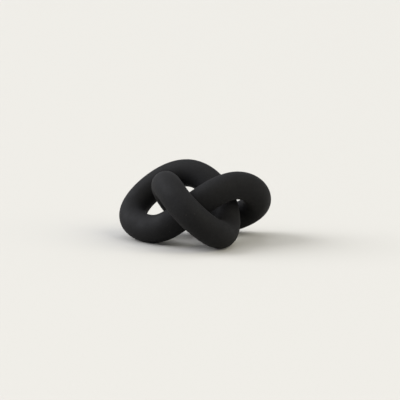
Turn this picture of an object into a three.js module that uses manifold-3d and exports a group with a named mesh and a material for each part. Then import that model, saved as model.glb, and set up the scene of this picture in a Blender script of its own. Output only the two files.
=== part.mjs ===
// Ceramic knot sculpture: a thick round tube that follows a trefoil knot and closes on itself.
// It is slip cast as three hollow lobes. They are luted end to end with soft slip, fettled flush
// and finished in matte black. It stands on three small flats, one ground under each lobe.
// Millimetres, +Z up. X is the length and Y runs from the front to the back. The origin is on the
// surface that the sculpture stands on, under the middle of it.

import * as THREE from 'three';
import * as BufferGeometryUtils from 'three/addons/utils/BufferGeometryUtils.js';
import Module from 'manifold-3d';

// Tube
const TUBE_DIAMETER = 31;
const WALL = 4; // thickness of the cast wall
const FLAT_DEPTH = 0.5; // how much is ground off under each lobe
const VENT_DIAMETER = 4; // lets the air out of the hollow during firing

// Luted joints: a thin wafer of slip between two ends, with a bead pressed out into the bore
const SLIP_THICKNESS = 1.4;
const BEAD_HEIGHT = 1.2;
const BEAD_WIDTH = 4.4;
const FACE_GAP = 0.3; // between the slip and each cast end
const BORE_GAP = 0.6; // between the bead and the bore, which bends away from it

// The route of the tube's middle, in plan. Each lobe has five stages: it climbs over a neighbour to
// its crest, falls from its shoulder round the outer turn, comes in low on its foot, and rises
// under the other neighbour. The lobes share one plan, a third of a turn apart.
const LOBE_PLAN = [
  { radius: 47, bearing: 98 }, // crest
  { radius: 76, bearing: 136 }, // shoulder
  { radius: 83, bearing: 162 }, // outer turn
  { radius: 44, bearing: 209 }, // foot
  { radius: 39, bearing: 265 }, // rise
];
const LOBE_SPACING = -120; // degrees, from one lobe to the next along the tube

// Each lobe has its own reach and its own height at each stage, because the tube is laid by hand
const LOBES = [
  { name: 'left', reach: 1.03, heights: [81, 52, 19, 11, 47] },
  { name: 'right', reach: 1.03, heights: [74, 49, 22, 9, 49] },
  { name: 'front', reach: 0.95, heights: [76, 52, 23, 8, 51] },
];

// Places along a lobe, counted in stages from its crest
const JOINT_STAGE = 3.8; // the neighbour crosses above the joint and hides it
const VENT_STAGE = 3.2; // on the underside, just past the foot
const VENTED_LOBE = 'right';

// Fineness of the facets
const OUTER_SIDES = 28;
const BORE_SIDES = 16;
const VENT_SIDES = 12;
const STEP_LENGTH = 5.5;
const ROUTE_SAMPLES = 1500; // a whole number for each tenth of a stage

// The block that stands for the grinding wheel: wider than the sculpture and thicker than the flats
const GRIND_WIDTH = 400;
const GRIND_THICKNESS = 10;

const tubeRadius = TUBE_DIAMETER / 2;
const boreRadius = tubeRadius - WALL;

const wasm = await Module();
wasm.setup();

// A closed uniform cubic B-spline, so the tube bends smoothly all the way round
class KnotRoute extends THREE.Curve {
  constructor(controlPoints) {
    super();
    this.controlPoints = controlPoints;
    this.arcLengthDivisions = ROUTE_SAMPLES;
  }

  getPoint(t, target = new THREE.Vector3()) {
    const count = this.controlPoints.length;
    const place = THREE.MathUtils.euclideanModulo(t, 1) * count;
    const first = Math.floor(place);
    const u = place - first;
    const weights = [
      (1 - u) ** 3 / 6,
      (3 * u ** 3 - 6 * u ** 2 + 4) / 6,
      (-3 * u ** 3 + 3 * u ** 2 + 3 * u + 1) / 6,
      u ** 3 / 6,
    ];
    target.set(0, 0, 0);
    weights.forEach((weight, k) => {
      const neighbour = this.controlPoints[(first + k - 1 + count) % count];
      target.addScaledVector(neighbour, weight);
    });
    return target;
  }

  // How far along the route a stage of a lobe lies, in millimetres
  distanceTo(lobeIndex, stage) {
    const t = (lobeIndex * LOBE_PLAN.length + stage) / this.controlPoints.length;
    return this.getLengths()[Math.round(t * ROUTE_SAMPLES)];
  }

  pointAtDistance(distance) {
    return this.getPointAt(THREE.MathUtils.euclideanModulo(distance / this.getLength(), 1));
  }
}

// The stretch of the route between two distances, for one casting
class RouteStretch extends THREE.Curve {
  constructor(route, start, end) {
    super();
    this.route = route;
    this.start = start;
    this.end = end;
  }

  getPoint(t, target = new THREE.Vector3()) {
    return target.copy(this.route.pointAtDistance(THREE.MathUtils.lerp(this.start, this.end, t)));
  }
}

function lobePoints({ reach, heights }, lobeIndex) {
  return LOBE_PLAN.map(({ radius, bearing }, stage) => {
    const angle = THREE.MathUtils.degToRad(bearing + LOBE_SPACING * lobeIndex);
    const distance = reach * radius;
    return new THREE.Vector3(distance * Math.cos(angle), distance * Math.sin(angle), heights[stage]);
  });
}

// The route stands centred over the origin, low enough for the ground flats to lie at height 0
function layRoute() {
  const controlPoints = LOBES.flatMap(lobePoints);
  const extent = new THREE.Box3().setFromPoints(new KnotRoute(controlPoints).getPoints(ROUTE_SAMPLES));
  const middle = extent.getCenter(new THREE.Vector3());
  const lowestSkin = extent.min.z - tubeRadius;
  const shift = new THREE.Vector3(-middle.x, -middle.y, -lowestSkin - FLAT_DEPTH);
  controlPoints.forEach((point) => point.add(shift));
  return new KnotRoute(controlPoints);
}

function circleOutline(radius, sides) {
  return Array.from({ length: sides }, (_, side) => {
    const angle = (2 * Math.PI * side) / sides;
    return new THREE.Vector2(radius * Math.cos(angle), radius * Math.sin(angle));
  });
}

function toSolid(geometry) {
  geometry.deleteAttribute('normal');
  geometry.deleteAttribute('uv');
  const merged = BufferGeometryUtils.mergeVertices(geometry);
  return new wasm.Manifold(new wasm.Mesh({
    numProp: 3,
    vertProperties: merged.getAttribute('position').array,
    triVerts: new Uint32Array(merged.getIndex().array),
  }));
}

function toGeometry(solid) {
  const { vertProperties, triVerts } = solid.getMesh();
  const geometry = new THREE.BufferGeometry();
  geometry.setAttribute('position', new THREE.BufferAttribute(vertProperties, 3));
  geometry.setIndex(new THREE.BufferAttribute(triVerts, 1));
  geometry.computeVertexNormals();
  return geometry;
}

// What the grinding takes away: everything below the surface that the sculpture stands on
function groundAway() {
  const block = new THREE.BoxGeometry(GRIND_WIDTH, GRIND_WIDTH, GRIND_THICKNESS);
  block.translate(0, 0, -GRIND_THICKNESS / 2);
  return toSolid(block);
}

// Stands a shape made round the Y axis square across the tube at the end of a lobe
function jointPlacement(route, lobeIndex) {
  const share = route.distanceTo(lobeIndex, JOINT_STAGE) / route.getLength();
  const turn = new THREE.Quaternion();
  turn.setFromUnitVectors(new THREE.Vector3(0, 1, 0), route.getTangentAt(share));
  return new THREE.Matrix4().compose(route.getPointAt(share), turn, new THREE.Vector3(1, 1, 1));
}

// The room that a joint takes from the castings on both sides, so that their ends are cut square
function jointRoom(route, lobeIndex) {
  const depth = SLIP_THICKNESS + 2 * FACE_GAP;
  const room = new THREE.CylinderGeometry(tubeRadius + WALL, tubeRadius + WALL, depth, OUTER_SIDES);
  room.applyMatrix4(jointPlacement(route, lobeIndex));
  return toSolid(room);
}

// A hole drilled straight up through the lower wall of the tube
function ventDrill(middle) {
  const drill = new THREE.CylinderGeometry(VENT_DIAMETER / 2, VENT_DIAMETER / 2, middle.z, VENT_SIDES);
  drill.rotateX(Math.PI / 2);
  drill.translate(middle.x, middle.y, middle.z / 2);
  return toSolid(drill);
}

// One hollow casting, open at both ends, from the joint behind it to the joint ahead of it
function castLobe(route, lobeIndex) {
  const lobeBehind = (lobeIndex + LOBES.length - 1) % LOBES.length;
  const jointAhead = route.distanceTo(lobeIndex, JOINT_STAGE);
  const lap = lobeIndex > lobeBehind ? 0 : route.getLength();
  const jointBehind = route.distanceTo(lobeBehind, JOINT_STAGE) - lap;

  const section = new THREE.Shape(circleOutline(tubeRadius, OUTER_SIDES));
  section.holes.push(new THREE.Path(circleOutline(boreRadius, BORE_SIDES)));
  const extrudePath = new RouteStretch(route, jointBehind, jointAhead);
  const steps = Math.round((jointAhead - jointBehind) / STEP_LENGTH);
  let casting = toSolid(new THREE.ExtrudeGeometry(section, { steps, extrudePath }));

  casting = casting.subtract(jointRoom(route, lobeBehind));
  casting = casting.subtract(jointRoom(route, lobeIndex));
  casting = casting.subtract(groundAway());
  if (LOBES[lobeIndex].name === VENTED_LOBE) {
    const middle = route.pointAtDistance(route.distanceTo(lobeIndex, VENT_STAGE));
    casting = casting.subtract(ventDrill(middle));
  }
  return toGeometry(casting);
}

// The slip joint turned about the tube's middle line, which is the lathe's Y axis
function slipProfile() {
  const halfWafer = SLIP_THICKNESS / 2;
  const halfBead = BEAD_WIDTH / 2;
  const beadOuter = boreRadius - BORE_GAP;
  const beadInner = beadOuter - BEAD_HEIGHT;
  return [
    [tubeRadius, -halfWafer],
    [tubeRadius, halfWafer],
    [beadOuter, halfWafer],
    [beadOuter, halfBead],
    [beadInner, halfBead / 2],
    [beadInner, -halfBead / 2],
    [beadOuter, -halfBead],
    [beadOuter, -halfWafer],
    [tubeRadius, -halfWafer],
  ].map(([radius, height]) => new THREE.Vector2(radius, height));
}

const matteBlack = { color: 0x1d1d1e, roughness: 0.62, metalness: 0 };
const firedSlip = { color: 0x202021, roughness: 0.7, metalness: 0 };

const route = layRoute();
const group = new THREE.Group();

LOBES.forEach(({ name }, lobeIndex) => {
  const casting = new THREE.Mesh(castLobe(route, lobeIndex), new THREE.MeshStandardMaterial(matteBlack));
  casting.name = `${name}_lobe`;
  group.add(casting);
});

LOBES.forEach(({ name }, lobeIndex) => {
  const next = LOBES[(lobeIndex + 1) % LOBES.length];
  const wafer = new THREE.LatheGeometry(slipProfile(), OUTER_SIDES);
  const joint = new THREE.Mesh(wafer, new THREE.MeshStandardMaterial(firedSlip));
  joint.name = `slip_joint_${name}_to_${next.name}`;
  joint.applyMatrix4(jointPlacement(route, lobeIndex));
  group.add(joint);
});

export default group;
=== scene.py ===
import math
from bisect import bisect_right

import bmesh
import bpy
from mathutils import Matrix, Vector, noise


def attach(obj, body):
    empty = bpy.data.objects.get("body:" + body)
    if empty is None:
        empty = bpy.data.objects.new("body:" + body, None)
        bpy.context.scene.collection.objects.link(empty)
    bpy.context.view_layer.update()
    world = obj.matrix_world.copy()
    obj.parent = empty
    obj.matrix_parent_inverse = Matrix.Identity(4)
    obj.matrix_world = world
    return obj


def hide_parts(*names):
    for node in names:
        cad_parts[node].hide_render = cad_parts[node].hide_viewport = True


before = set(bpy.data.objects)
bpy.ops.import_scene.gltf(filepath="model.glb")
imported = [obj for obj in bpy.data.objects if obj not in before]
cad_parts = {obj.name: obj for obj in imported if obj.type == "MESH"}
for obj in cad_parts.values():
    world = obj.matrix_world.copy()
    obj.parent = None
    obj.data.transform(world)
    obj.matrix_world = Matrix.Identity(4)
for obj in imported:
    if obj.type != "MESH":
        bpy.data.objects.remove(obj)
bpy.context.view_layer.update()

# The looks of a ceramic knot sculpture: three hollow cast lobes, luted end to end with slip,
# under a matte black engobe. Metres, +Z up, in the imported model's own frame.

bl_info = {
    "name": "Ceramic Knot Sculpture",
    "version": (1, 0, 0),
    "blender": (4, 5, 0),
    "location": "3D View > Sidebar > Knot",
    "description": "Adds a matte black ceramic trefoil knot, cast in three lobes, and a small studio",
    "category": "Add Mesh",
}

MM = 0.001

# The route of the tube's middle, as the model lays it: for each stage of a lobe, the distance from
# the middle in millimetres and the bearing in degrees, seen in plan
LOBE_PLAN = (
    (47, 98),  # crest
    (76, 136),  # shoulder
    (83, 162),  # outer turn
    (44, 209),  # foot
    (39, 265),  # rise
)
LOBE_SPACING = -120  # degrees, from one lobe to the next along the tube

# Each lobe's own reach, and its heights in millimetres at the five stages
LOBES = (
    ("left_lobe", 1.03, (81, 52, 19, 11, 47)),
    ("right_lobe", 1.03, (74, 49, 22, 9, 49)),
    ("front_lobe", 0.95, (76, 52, 23, 8, 51)),
)
SLIP_JOINTS = ("slip_joint_left_to_right", "slip_joint_right_to_front", "slip_joint_front_to_left")
JOINT_STAGE = 3.8
VENT_STAGE = 3.2
VENTED_LOBE = "right_lobe"
ROUTE_SAMPLES = 3000
BORE_COARSENESS = 3  # how many times further apart the bore's rings lie than the skin's

# The hand-smoothed skin wanders in broad waves, with shorter ones on them
BROAD_WAVE = 24 * MM
SHORT_WAVE = 7 * MM
SHORT_SHARE = 0.2  # of the whole unevenness
SHORT_WAVE_START = Vector((3.1, 5.7, 9.2))  # so that the two patterns don't coincide
SWELL_REACH = 5 * MM  # along the tube, to each side of a joint

# The shoulder of the bead of slip, as shares of the bead's half width and of its depth
BEAD_SHOULDER = (0.6, 0.8)
BEAD_CLEARANCE = 0.1 * MM  # between the bead and the bore

# The rounded mouth of the vent, in millimetres: each point's distance outside the bore, and its
# depth under the skin
VENT_LIP = ((2.9, -1.4), (0.45, 0.05), (0.15, 0.3), (-0.05, 0.75))
VENT_SIDES = 48
VENT_RUN_OUT = 2 * MM  # how far outside the skin the drill starts

ENGOBE, BARE_CLAY = 0, 1  # places in a casting's list of materials
CREASE_ANGLE = math.radians(35)  # an edge that turns by more than this isn't shaded smooth

AIM = Vector((5.5, 12.0, 46.0)) * MM  # the point in the middle of the picture
SENSOR_WIDTH = 36.0  # millimetres, as camera data gives it
FLOOR_SIZE = 30.0  # metres, so that its edge lies beyond the picture
DAYLIGHT_COLOR = (0.935, 0.945, 1.0)  # slightly cool
LAMP_COLOR = (1.0, 0.955, 0.82)  # slightly warm


class KnotTubeSettings(bpy.types.PropertyGroup):
    """Sizes of the hollow tube and of its luted joints"""

    tube_diameter: bpy.props.FloatProperty(
        name="Tube Diameter",
        description="Outer diameter of the tube",
        default=31 * MM,
        min=1 * MM,
        unit="LENGTH",
    )
    wall: bpy.props.FloatProperty(
        name="Wall",
        description="Thickness of the cast wall",
        default=4 * MM,
        min=1 * MM,
        unit="LENGTH",
    )
    flat_depth: bpy.props.FloatProperty(
        name="Flat Depth",
        description="How much is ground off under the lowest lobe",
        default=0.5 * MM,
        min=0.0,
        unit="LENGTH",
    )
    vent_diameter: bpy.props.FloatProperty(
        name="Vent Diameter",
        description="Hole that lets the air out of the hollow during firing",
        default=4 * MM,
        min=1 * MM,
        unit="LENGTH",
    )
    joint_width: bpy.props.FloatProperty(
        name="Joint Width",
        description="Width of the band of slip that shows between two castings",
        default=2 * MM,
        min=0.5 * MM,
        unit="LENGTH",
    )
    joint_swell: bpy.props.FloatProperty(
        name="Joint Swell",
        description="How far the fettled skin rises over a luted joint",
        default=0.1 * MM,
        min=0.0,
        unit="LENGTH",
    )
    bead_depth: bpy.props.FloatProperty(
        name="Bead Depth",
        description="How far the bead of slip stands into the bore",
        default=1.3 * MM,
        min=0.0,
        unit="LENGTH",
    )
    bead_width: bpy.props.FloatProperty(
        name="Bead Width",
        description="Width of the bead of slip in the bore",
        default=4.4 * MM,
        min=0.0,
        unit="LENGTH",
    )
    unevenness: bpy.props.FloatProperty(
        name="Unevenness",
        description="How far the hand-smoothed skin wanders from a true tube",
        default=0.16 * MM,
        min=0.0,
        unit="LENGTH",
    )
    rim: bpy.props.FloatProperty(
        name="Rim",
        description="Softening of the castings' ends beside a joint",
        default=0.12 * MM,
        min=0.0,
        unit="LENGTH",
    )
    sides: bpy.props.IntProperty(
        name="Sides",
        description="Facets round the tube",
        default=96,
        min=12,
    )
    step: bpy.props.FloatProperty(
        name="Step",
        description="Distance between two rings of the outer skin",
        default=1.1 * MM,
        min=0.5 * MM,
        unit="LENGTH",
    )


class KnotFinishSettings(bpy.types.PropertyGroup):
    """Colours and grain of the fired surfaces"""

    engobe_dark: bpy.props.FloatVectorProperty(
        name="Engobe, Dark",
        description="The matte black engobe where it lies thick",
        default=(0.004, 0.004, 0.004),
        subtype="COLOR",
        min=0.0,
        max=1.0,
    )
    engobe_light: bpy.props.FloatVectorProperty(
        name="Engobe, Light",
        description="The matte black engobe where it is rubbed or thin",
        default=(0.0085, 0.0083, 0.0085),
        subtype="COLOR",
        min=0.0,
        max=1.0,
    )
    bare_body: bpy.props.FloatVectorProperty(
        name="Bare Body",
        description="The fired clay where no engobe covers it",
        default=(0.055, 0.047, 0.042),
        subtype="COLOR",
        min=0.0,
        max=1.0,
    )
    roughness: bpy.props.FloatProperty(
        name="Roughness",
        description="Mean roughness of the engobe",
        default=0.75,
        min=0.0,
        max=1.0,
        subtype="FACTOR",
    )
    grain: bpy.props.FloatProperty(
        name="Grain",
        description="Size of the dry grain in the engobe",
        default=0.55 * MM,
        min=0.05 * MM,
        unit="LENGTH",
    )
    speck: bpy.props.FloatProperty(
        name="Speck",
        description="Diameter of the pale specks in the engobe",
        default=1.3 * MM,
        min=0.05 * MM,
        unit="LENGTH",
    )
    speck_spacing: bpy.props.FloatProperty(
        name="Speck Spacing",
        description="Size of the cells that hold one place for a speck each",
        default=9 * MM,
        min=1 * MM,
        unit="LENGTH",
    )


class KnotStageSettings(bpy.types.PropertyGroup):
    """Camera, floor and lights of the studio"""

    camera_elevation: bpy.props.FloatProperty(
        name="Camera Elevation",
        description="How far above the horizon the camera stands, seen from the sculpture",
        default=math.radians(9),
        subtype="ANGLE",
    )
    camera_distance: bpy.props.FloatProperty(
        name="Camera Distance",
        description="From the camera to the point that it looks at",
        default=1.9785,
        min=0.1,
        unit="LENGTH",
    )
    field_width: bpy.props.FloatProperty(
        name="Field Width",
        description="What the picture spans at the point that the camera looks at",
        default=0.4436,
        min=0.01,
        unit="LENGTH",
    )
    floor_color: bpy.props.FloatVectorProperty(
        name="Floor",
        description="Colour of the pale floor",
        default=(0.505, 0.496, 0.46),
        subtype="COLOR",
        min=0.0,
        max=1.0,
    )
    daylight: bpy.props.FloatProperty(
        name="Daylight",
        description="Strength of the soft light from all round",
        default=0.52,
        min=0.0,
    )
    left_light: bpy.props.FloatProperty(
        name="Left Light",
        description="Strength of the large soft light at the left",
        default=3.5,
        min=0.0,
    )
    back_light: bpy.props.FloatProperty(
        name="Back Light",
        description="Strength of the large soft light high at the back",
        default=0.9,
        min=0.0,
    )
    right_light: bpy.props.FloatProperty(
        name="Right Light",
        description="Strength of the large soft light in front and at the right",
        default=1.98,
        min=0.0,
    )
    spread: bpy.props.FloatProperty(
        name="Spread",
        description="How wide each soft light looks from the sculpture",
        default=math.radians(50),
        subtype="ANGLE",
    )


def spline_weights(u):
    """Weights of four control points, a share u of the way from the second to the third"""
    return (
        (1 - u) ** 3 / 6,
        (3 * u**3 - 6 * u**2 + 4) / 6,
        (-3 * u**3 + 3 * u**2 + 3 * u + 1) / 6,
        u**3 / 6,
    )


def lobe_controls(index):
    """The control points of one lobe, before the route is centred over the origin"""
    _, reach, heights = LOBES[index]
    controls = []
    for (radius, bearing), height in zip(LOBE_PLAN, heights):
        angle = math.radians(bearing + LOBE_SPACING * index)
        distance = reach * radius
        controls.append(Vector((distance * math.cos(angle), distance * math.sin(angle), height)) * MM)
    return controls


class KnotRoute:
    """The tube's middle line: a closed uniform cubic B-spline, measured along its length"""

    def __init__(self, tube_diameter, flat_depth):
        self.controls = [control for index in range(len(LOBES)) for control in lobe_controls(index)]
        points = [self.at_stage(self.stage_of_sample(k)) for k in range(ROUTE_SAMPLES)]
        low = Vector([min(point[axis] for point in points) for axis in range(3)])
        high = Vector([max(point[axis] for point in points) for axis in range(3)])
        # It stands centred over the origin, low enough for the ground flats to lie at height 0
        drop = low.z - tube_diameter / 2 + flat_depth
        shift = Vector(((low.x + high.x) / 2, (low.y + high.y) / 2, drop))
        self.controls = [control - shift for control in self.controls]
        points = [point - shift for point in points]
        self.distances = [0.0]
        for here, there in zip(points, points[1:] + points[:1]):
            self.distances.append(self.distances[-1] + (there - here).length)
        self.length = self.distances[-1]

    def stage_of_sample(self, sample):
        return sample * len(self.controls) / ROUTE_SAMPLES

    def at_stage(self, stage):
        count = len(self.controls)
        first = math.floor(stage)
        weights = spline_weights(stage - first)
        return sum(
            (self.controls[(first + k - 1) % count] * weight for k, weight in enumerate(weights)),
            Vector(),
        )

    def distance_to(self, index, stage):
        """How far along the route a stage of a lobe lies"""
        share = (index * len(LOBE_PLAN) + stage) / len(self.controls)
        return self.distances[round(share * ROUTE_SAMPLES)]

    def at_distance(self, distance):
        distance %= self.length
        behind = bisect_right(self.distances, distance, hi=ROUTE_SAMPLES) - 1
        span = self.distances[behind + 1] - self.distances[behind]
        return self.at_stage(self.stage_of_sample(behind + (distance - self.distances[behind]) / span))

    def across(self, distance):
        """The matrix that stands a ring, drawn round the Z axis, square across the tube"""
        reach = 0.2 * MM
        ahead = self.at_distance(distance + reach) - self.at_distance(distance - reach)
        ahead.normalize()
        side = Vector((0, 0, 1)).cross(ahead).normalized()
        lift = ahead.cross(side)
        turn = Matrix((side, lift, ahead)).transposed().to_4x4()
        return Matrix.Translation(self.at_distance(distance)) @ turn

    def joint_distances(self):
        """Where the three joints lie, each at the end of its lobe"""
        return [self.distance_to(index, JOINT_STAGE) for index in range(len(LOBES))]


def current_route():
    """The route for the sizes that the sidebar shows"""
    tube = bpy.context.scene.knot_tube
    return KnotRoute(tube.tube_diameter, tube.flat_depth)


def sweep_rings(route, stations, sides):
    """Extrudes a ring from station to station, and closes the last on the first.

    A station is a distance along the route and a radius. This gives the new bmesh and its rings,
    each with its centre.
    """
    distance, radius = stations[0]
    here = route.across(distance)
    bm = bmesh.new()
    ring = bmesh.ops.create_circle(bm, cap_ends=False, segments=sides, radius=radius, matrix=here)["verts"]
    edges = first_edges = bm.edges[:]
    rings = [(here.translation.copy(), ring)]
    for next_distance, next_radius in stations[1:]:
        extruded = bmesh.ops.extrude_edge_only(bm, edges=edges)["geom"]
        ring = [part for part in extruded if isinstance(part, bmesh.types.BMVert)]
        there = route.across(next_distance)
        move = there @ Matrix.Scale(next_radius / radius, 4) @ here.inverted()
        bmesh.ops.transform(bm, matrix=move, verts=ring)
        fresh = set(ring)
        edges = [
            part
            for part in extruded
            if isinstance(part, bmesh.types.BMEdge) and part.verts[0] in fresh and part.verts[1] in fresh
        ]
        rings.append((there.translation.copy(), ring))
        here, radius = there, next_radius
    bmesh.ops.bridge_loops(bm, edges=first_edges + edges)
    return bm, rings


def even_stations(start, end, step, radius):
    """Stations of one radius from start to end, about a step apart"""
    count = max(1, round(abs(end - start) / step))
    return [(start + (end - start) * k / count, radius) for k in range(count + 1)]


def skin_offset(point, joint_places, tube):
    """How far the skin stands off a true tube: soft waves, and a low swelling over each joint"""
    broad = noise.noise(point / BROAD_WAVE)
    short = noise.noise(point / SHORT_WAVE + SHORT_WAVE_START)
    offset = tube.unevenness * ((1 - SHORT_SHARE) * broad + SHORT_SHARE * short)
    for place in joint_places:
        local = place @ point
        if local.length < tube.tube_diameter:
            offset += tube.joint_swell * math.exp(-((local.z / SWELL_REACH) ** 2))
    return offset


def roughen_skin(rings, route, tube):
    """Moves each point of the skin straight out or in, by a little"""
    joint_places = [route.across(distance).inverted() for distance in route.joint_distances()]
    for centre, ring in rings:
        for vert in ring:
            outward = (vert.co - centre).normalized()
            vert.co += outward * skin_offset(vert.co, joint_places, tube)


class Coat:
    """A material in the making: patterns on the piece's Object coordinates, led to its one shader.

    A method that adds nodes gives the output of the last of them.
    """

    def __init__(self, name):
        self.material = bpy.data.materials.new(name)
        self.material.use_nodes = True
        self.nodes = self.material.node_tree.nodes
        self.links = self.material.node_tree.links
        self.shader = self.nodes["Principled BSDF"]
        self.place = self.nodes.new("ShaderNodeTexCoord").outputs["Object"]

    def set(self, socket, value):
        """Gives a socket of the shader one value for the whole surface"""
        self.shader.inputs[socket].default_value = value

    def lead(self, output, socket):
        """Leads a pattern to a socket of the shader"""
        self.links.new(output, self.shader.inputs[socket])

    def noise(self, size, detail, stretch=(1.0, 1.0, 1.0)):
        """A noise pattern of about this size"""
        mapping = self.nodes.new("ShaderNodeMapping")
        mapping.inputs["Scale"].default_value = stretch
        self.links.new(self.place, mapping.inputs["Vector"])
        pattern = self.nodes.new("ShaderNodeTexNoise")
        pattern.inputs["Scale"].default_value = 1 / size
        pattern.inputs["Detail"].default_value = detail
        self.links.new(mapping.outputs["Vector"], pattern.inputs["Vector"])
        return pattern.outputs["Fac"]

    def cells(self, size):
        """Scattered places, one in each cell of this size: the distance to it, and its chance value"""
        pattern = self.nodes.new("ShaderNodeTexVoronoi")
        pattern.inputs["Scale"].default_value = 1 / size
        self.links.new(self.place, pattern.inputs["Vector"])
        chance = self.nodes.new("ShaderNodeSeparateColor")
        self.links.new(pattern.outputs["Color"], chance.inputs["Color"])
        return pattern.outputs["Distance"], chance.outputs["Red"]

    def span(self, value, source, target=(0.0, 1.0)):
        """A value mapped from one range to another, and held inside it"""
        change = self.nodes.new("ShaderNodeMapRange")
        self.links.new(value, change.inputs["Value"])
        change.inputs["From Min"].default_value, change.inputs["From Max"].default_value = source
        change.inputs["To Min"].default_value, change.inputs["To Max"].default_value = target
        return change.outputs["Result"]

    def sum(self, value, weight, rest):
        """A value times its weight, added to the rest"""
        total = self.nodes.new("ShaderNodeMath")
        total.operation = "MULTIPLY_ADD"
        self.links.new(value, total.inputs[0])
        total.inputs[1].default_value = weight
        self.links.new(rest, total.inputs[2])
        return total.outputs[0]

    def product(self, first, second):
        result = self.nodes.new("ShaderNodeMath")
        result.operation = "MULTIPLY"
        self.links.new(first, result.inputs[0])
        self.links.new(second, result.inputs[1])
        return result.outputs[0]

    def blend(self, share, first, second):
        """A colour that goes from the first to the second, which are colours or outputs"""
        mix = self.nodes.new("ShaderNodeMix")
        mix.data_type = "RGBA"
        self.links.new(share, mix.inputs["Factor"])
        for socket, color in (("A", first), ("B", second)):
            if isinstance(color, bpy.types.NodeSocket):
                self.links.new(color, mix.inputs[socket])
            else:
                mix.inputs[socket].default_value = (*color, 1.0)
        return mix.outputs["Result"]

    def bump(self, height, strength, depth, under=None):
        """The surface raised by a pattern, on top of an earlier bump where one is given"""
        raised = self.nodes.new("ShaderNodeBump")
        raised.inputs["Strength"].default_value = strength
        raised.inputs["Distance"].default_value = depth
        self.links.new(height, raised.inputs["Height"])
        if under is not None:
            self.links.new(under, raised.inputs["Normal"])
        return raised.outputs["Normal"]


def engobe_material(name, finish):
    """Matte black engobe: cloudy and streaked by the sponge, finely mottled, with a few pale specks"""
    coat = Coat(name)
    clouds = coat.noise(size=18 * MM, detail=2.0)
    streaks = coat.noise(size=6 * MM, detail=4.0, stretch=(1.0, 1.0, 0.35))
    mottle = coat.noise(size=1.8 * MM, detail=5.0)
    grain = coat.noise(size=finish.grain, detail=3.0)
    peel = coat.noise(size=2.6 * MM, detail=1.0)

    patches = coat.sum(streaks, weight=0.6, rest=clouds)
    patches = coat.sum(mottle, weight=1.3, rest=patches)
    tone = coat.span(patches, (1.03, 1.87))
    engobe = coat.blend(tone, finish.engobe_dark, finish.engobe_light)
    specks = engobe_specks(coat, grain, finish)
    coat.lead(coat.blend(specks, engobe, finish.bare_body), "Base Color")

    swing = 0.07
    bounds = (finish.roughness - swing, finish.roughness + swing)
    coat.lead(coat.span(clouds, (0.3, 0.7), bounds), "Roughness")

    soft = coat.bump(peel, strength=0.4, depth=0.1 * MM)
    coat.lead(coat.bump(grain, strength=0.6, depth=0.09 * MM, under=soft), "Normal")

    coat.set("Specular IOR Level", 0.15)
    coat.set("Sheen Weight", 0.01)
    coat.set("Sheen Roughness", 0.25)
    coat.set("Sheen Tint", (1.0, 0.9, 0.78, 1.0))
    return coat.material


def engobe_specks(coat, grain, finish):
    """Small pale specks, where a grain of the body shows through the engobe.

    Each has its own strength, down to none, and the dry grain makes its edge uneven.
    """
    distance, chance = coat.cells(finish.speck_spacing)
    radius = finish.speck / 2 / finish.speck_spacing
    uneven = coat.sum(grain, weight=2 * radius, rest=distance)
    spot = coat.span(uneven, (2 * radius, 1.6 * radius))
    strength = coat.span(chance, (0.3, 1.0), (0.0, 0.5))
    return coat.product(spot, strength)


def bare_clay_material(name, finish):
    """The fired clay itself, as on the ground flats and in the bore"""
    coat = Coat(name)
    grit = coat.noise(size=0.8 * MM, detail=3.0)
    darker = [0.7 * channel for channel in finish.bare_body]
    tone = coat.span(grit, (0.35, 0.65))
    coat.lead(coat.blend(tone, darker, finish.bare_body), "Base Color")
    coat.lead(coat.span(grit, (0.3, 0.7), (0.78, 0.92)), "Roughness")
    coat.lead(coat.bump(grit, strength=0.5, depth=0.08 * MM), "Normal")
    return coat.material


def floor_material(name, stage):
    """A pale painted board with a barely visible tooth"""
    coat = Coat(name)
    tooth = coat.noise(size=3 * MM, detail=2.0)
    coat.set("Base Color", (*stage.floor_color, 1.0))
    coat.lead(coat.span(tooth, (0.3, 0.7), (0.8, 0.95)), "Roughness")
    coat.set("Specular IOR Level", 0.2)
    return coat.material


def grind_flat(bm):
    """Cuts the tube level with the floor, closes the cut, and returns the flat faces"""
    everything = bm.verts[:] + bm.edges[:] + bm.faces[:]
    cut = bmesh.ops.bisect_plane(
        bm, geom=everything, plane_co=(0, 0, 0), plane_no=(0, 0, 1), clear_inner=True
    )["geom_cut"]
    rim = [part for part in cut if isinstance(part, bmesh.types.BMEdge)]
    return bmesh.ops.edgeloop_fill(bm, edges=rim)["faces"]


def drill_vent(piece, index, route, tube):
    """Drills the vent straight up into the hollow, and rounds off its mouth square to the skin"""
    place = route.across(route.distance_to(index, VENT_STAGE))
    ahead = place.col[2].to_3d()
    drop = tube.tube_diameter / 2 / math.hypot(ahead.x, ahead.y)
    mouth = Matrix.Translation(place.translation - Vector((0, 0, drop)))
    radius = tube.vent_diameter / 2
    cut_round(piece, ((radius, -VENT_RUN_OUT), (radius, drop)), mouth, BARE_CLAY)

    up = Vector((0, 0, 1))
    inward = (up - ahead * ahead.z).normalized()
    square = up.rotation_difference(inward).to_matrix().to_4x4()
    lip = [(radius + out * MM, depth * MM) for out, depth in VENT_LIP]
    cut_round(piece, lip, mouth @ square, ENGOBE)


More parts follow.
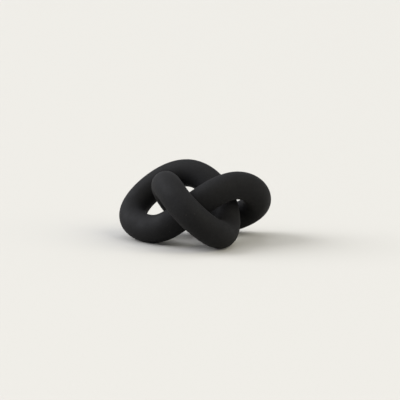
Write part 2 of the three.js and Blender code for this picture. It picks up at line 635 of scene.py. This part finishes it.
def cut_round(piece, profile, place, material_index):
    """Cuts a round shape out of a piece, turned from distances off the Z axis and heights along it"""
    (_, lowest), (_, highest) = profile[0], profile[-1]
    outline = [(0.0, lowest), *profile, (0.0, highest)]
    bm = bmesh.new()
    points = [bm.verts.new((across, 0, height)) for across, height in outline]
    edges = [bm.edges.new(pair) for pair in zip(points, points[1:])]
    bmesh.ops.spin(
        bm,
        geom=points + edges,
        cent=(0, 0, 0),
        axis=(0, 0, 1),
        angle=2 * math.pi,
        steps=VENT_SIDES,
        use_merge=True,
    )
    bmesh.ops.remove_doubles(bm, verts=bm.verts, dist=0.001 * MM)
    bmesh.ops.recalc_face_normals(bm, faces=bm.faces)
    bmesh.ops.transform(bm, matrix=place, verts=bm.verts)
    for face in bm.faces:
        face.material_index = material_index
    cutter = make_piece("round_cutter", bm, piece.data.materials)
    cut = piece.modifiers.new("round_cut", "BOOLEAN")
    cut.operation = "DIFFERENCE"
    cut.solver = "EXACT"
    cut.material_mode = "TRANSFER"
    cut.object = cutter
    bpy.context.view_layer.objects.active = piece
    bpy.ops.object.modifier_apply(modifier=cut.name)
    mesh = cutter.data
    bpy.data.objects.remove(cutter)
    bpy.data.meshes.remove(mesh)


def add_lobe(index, route, tube, materials):
    """One hollow casting, from the joint behind it to the joint ahead of it"""
    joints = route.joint_distances()
    behind = joints[index - 1] - (route.length if index == 0 else 0)
    start = behind + tube.joint_width / 2
    end = joints[index] - tube.joint_width / 2
    outer = tube.tube_diameter / 2
    bore = outer - tube.wall
    rim = tube.rim
    skin = [
        (start, outer - rim),
        *even_stations(start + rim, end - rim, tube.step, outer),
        (end, outer - rim),
    ]
    hollow = even_stations(end, start, BORE_COARSENESS * tube.step, bore)

    bm, rings = sweep_rings(route, skin + hollow, tube.sides)
    roughen_skin(rings[: len(skin)], route, tube)
    inner = {vert for _, ring in rings[len(skin) :] for vert in ring}
    for face in bm.faces:
        face.material_index = BARE_CLAY if inner.issuperset(face.verts) else ENGOBE
    for face in grind_flat(bm):
        face.material_index = BARE_CLAY
    name, _, _ = LOBES[index]
    piece = make_piece(f"{name}_cast", bm, materials)
    if name == VENTED_LOBE:
        drill_vent(piece, index, route, tube)
    dress_piece(piece, name)


def add_slip_joint(index, route, tube, materials):
    """A wafer of slip between two castings, with the bead that it presses into the bore"""
    middle = route.joint_distances()[index]
    half_joint = tube.joint_width / 2
    half_bead = tube.bead_width / 2
    outer = tube.tube_diameter / 2
    bore = outer - tube.wall
    clear = bore - BEAD_CLEARANCE
    shoulder = BEAD_SHOULDER[0] * half_bead
    shoulder_radius = bore - BEAD_SHOULDER[1] * tube.bead_depth
    skin = [
        (middle - half_joint, outer - tube.rim),
        (middle - half_joint + tube.rim, outer),
        (middle, outer),
        (middle + half_joint - tube.rim, outer),
        (middle + half_joint, outer - tube.rim),
    ]
    inside = [
        (middle + half_joint, clear),
        (middle + half_bead, clear),
        (middle + shoulder, shoulder_radius),
        (middle, bore - tube.bead_depth),
        (middle - shoulder, shoulder_radius),
        (middle - half_bead, clear),
        (middle - half_joint, clear),
    ]
    bm, rings = sweep_rings(route, skin + inside, tube.sides)
    roughen_skin(rings[: len(skin)], route, tube)
    piece = make_piece(f"{SLIP_JOINTS[index]}_fired", bm, materials)
    dress_piece(piece, SLIP_JOINTS[index])


def make_piece(name, bm, materials):
    """Turns a finished bmesh into an object at the origin, its faces pointing out"""
    bmesh.ops.recalc_face_normals(bm, faces=bm.faces)
    mesh = bpy.data.meshes.new(name)
    bm.to_mesh(mesh)
    bm.free()
    for material in materials:
        mesh.materials.append(material)
    piece = bpy.data.objects.new(name, mesh)
    bpy.context.scene.collection.objects.link(piece)
    return piece


def dress_piece(piece, node):
    """Shades a piece smooth, and lets it ride on the one rigid body in its node's place"""
    piece.data.shade_smooth()
    piece.data.set_sharp_from_angle(angle=CREASE_ANGLE)
    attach(piece, "root")
    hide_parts(node)


class KNOT_OT_cast_lobes(bpy.types.Operator):
    """Add the three hollow castings of the knot, with their ground flats and the firing vent"""

    bl_idname = "knot.cast_lobes"
    bl_label = "Cast Lobes"
    bl_options = {"REGISTER", "UNDO"}

    def execute(self, context):
        scene = context.scene
        route = current_route()
        materials = [
            engobe_material("matte_black_engobe", scene.knot_finish),
            bare_clay_material("bare_clay", scene.knot_finish),
        ]
        for index in range(len(LOBES)):
            add_lobe(index, route, scene.knot_tube, materials)
        return {"FINISHED"}


class KNOT_OT_lute_joints(bpy.types.Operator):
    """Add the three joints of slip that hold the castings together"""

    bl_idname = "knot.lute_joints"
    bl_label = "Lute Joints"
    bl_options = {"REGISTER", "UNDO"}

    def execute(self, context):
        scene = context.scene
        route = current_route()
        materials = [engobe_material("engobe_over_slip", scene.knot_finish)]
        for index in range(len(SLIP_JOINTS)):
            add_slip_joint(index, route, scene.knot_tube, materials)
        return {"FINISHED"}


class KNOT_OT_set_stage(bpy.types.Operator):
    """Add the pale floor, the soft lights and the camera"""

    bl_idname = "knot.set_stage"
    bl_label = "Set Stage"
    bl_options = {"REGISTER", "UNDO"}

    def execute(self, context):
        stage = context.scene.knot_stage
        add_camera(stage)
        add_floor(stage)
        add_lights(stage)
        return {"FINISHED"}


def add_camera(stage):
    rise = stage.camera_elevation
    towards = Vector((0, -math.cos(rise), math.sin(rise)))
    data = bpy.data.cameras.new("camera")
    data.sensor_fit = "HORIZONTAL"
    data.sensor_width = SENSOR_WIDTH
    data.lens = SENSOR_WIDTH * stage.camera_distance / stage.field_width
    data.clip_end = 2 * FLOOR_SIZE
    camera = bpy.data.objects.new("camera", data)
    camera.location = AIM + towards * stage.camera_distance
    camera.rotation_euler = (math.pi / 2 - rise, 0, 0)
    bpy.context.scene.collection.objects.link(camera)
    bpy.context.scene.camera = camera


def add_floor(stage):
    bm = bmesh.new()
    bmesh.ops.create_grid(bm, x_segments=1, y_segments=1, size=FLOOR_SIZE / 2)
    floor = make_piece("floor", bm, [floor_material("pale_floor", stage)])


def add_soft_light(name, strength, color, bearing, elevation, spread):
    """A wide soft light, as far off as a window, so that it falls evenly over the floor"""
    data = bpy.data.lights.new(name, "SUN")
    data.energy = strength
    data.color = color
    data.angle = spread
    light = bpy.data.objects.new(name, data)
    light.rotation_euler = (0, math.pi / 2 - math.radians(elevation), math.radians(bearing))
    bpy.context.scene.collection.objects.link(light)


def add_lights(stage):
    spread = stage.spread
    add_soft_light("left_light", stage.left_light, DAYLIGHT_COLOR, bearing=172, elevation=34, spread=spread)
    add_soft_light("back_light", stage.back_light, DAYLIGHT_COLOR, bearing=90, elevation=75, spread=spread)
    add_soft_light("right_light", stage.right_light, LAMP_COLOR, bearing=-30, elevation=38, spread=spread)
    world = bpy.data.worlds.new("daylight")
    world.use_nodes = True
    backdrop = world.node_tree.nodes["Background"]
    backdrop.inputs["Color"].default_value = (*DAYLIGHT_COLOR, 1.0)
    backdrop.inputs["Strength"].default_value = stage.daylight
    bpy.context.scene.world = world
    bpy.context.scene.view_settings.view_transform = "Standard"


class KNOT_PT_workshop(bpy.types.Panel):
    """The knot's sizes, finishes and studio, with the steps that make them"""

    bl_idname = "KNOT_PT_workshop"
    bl_label = "Ceramic Knot"
    bl_space_type = "VIEW_3D"
    bl_region_type = "UI"
    bl_category = "Knot"

    def draw(self, context):
        scene = context.scene
        steps = (
            (scene.knot_tube, (KNOT_OT_cast_lobes, KNOT_OT_lute_joints)),
            (scene.knot_finish, ()),
            (scene.knot_stage, (KNOT_OT_set_stage,)),
        )
        for settings, operators in steps:
            box = self.layout.box()
            for name in settings.__annotations__:
                box.prop(settings, name)
            for operator in operators:
                box.operator(operator.bl_idname)


CLASSES = (
    KnotTubeSettings,
    KnotFinishSettings,
    KnotStageSettings,
    KNOT_OT_cast_lobes,
    KNOT_OT_lute_joints,
    KNOT_OT_set_stage,
    KNOT_PT_workshop,
)


def register():
    for cls in CLASSES:
        bpy.utils.register_class(cls)
    bpy.types.Scene.knot_tube = bpy.props.PointerProperty(type=KnotTubeSettings)
    bpy.types.Scene.knot_finish = bpy.props.PointerProperty(type=KnotFinishSettings)
    bpy.types.Scene.knot_stage = bpy.props.PointerProperty(type=KnotStageSettings)


def unregister():
    del bpy.types.Scene.knot_stage
    del bpy.types.Scene.knot_finish
    del bpy.types.Scene.knot_tube
    for cls in reversed(CLASSES):
        bpy.utils.unregister_class(cls)


def main():
    register()
    bpy.ops.knot.set_stage()
    bpy.ops.knot.cast_lobes()
    bpy.ops.knot.lute_joints()


if __name__ == "__main__":
    main()
